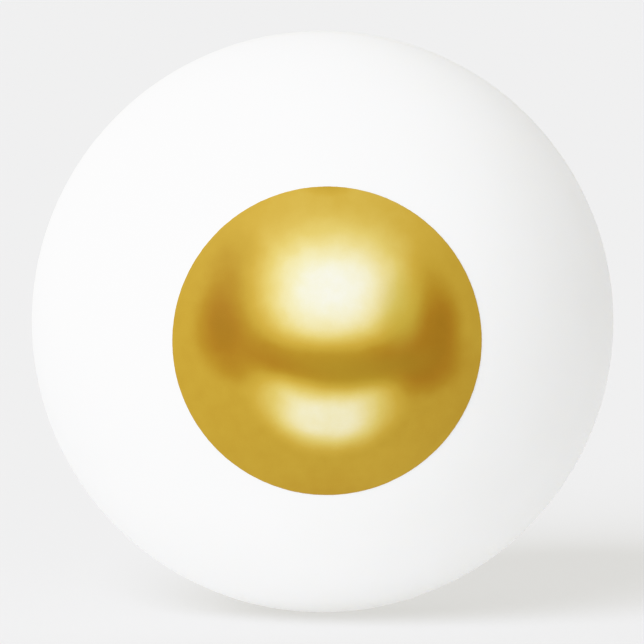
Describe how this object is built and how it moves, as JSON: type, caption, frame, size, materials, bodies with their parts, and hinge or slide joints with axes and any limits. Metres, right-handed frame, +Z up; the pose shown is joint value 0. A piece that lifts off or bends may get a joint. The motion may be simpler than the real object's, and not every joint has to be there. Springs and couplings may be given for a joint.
{
  "type": "table tennis ball",
  "caption": "Hollow table tennis ball: two half shells glued at a stepped seam, with a round golden pearl motif printed on the front.",
  "frame": {"origin": "centre of the ball; it lies on its lowest point at (0, 0, -0.02)", "axes": "+Y is the axis of symmetry and runs from the printed front pole to the plain back pole, so the seam lies in the plane y = 0 and the print faces -Y; +Z is up"},
  "size_m": [0.04, 0.04, 0.04],
  "materials": {
    "shell_plastic": "matte",
    "seam_adhesive": "satin",
    "motif_ink": "satin"
  },
  "bodies": {
    "root": {"printed_half_shell": "shell_plastic", "plain_half_shell": "shell_plastic", "seam_adhesive_ring": "seam_adhesive", "printed_motif": "motif_ink"}
  },
  "joints": []
}
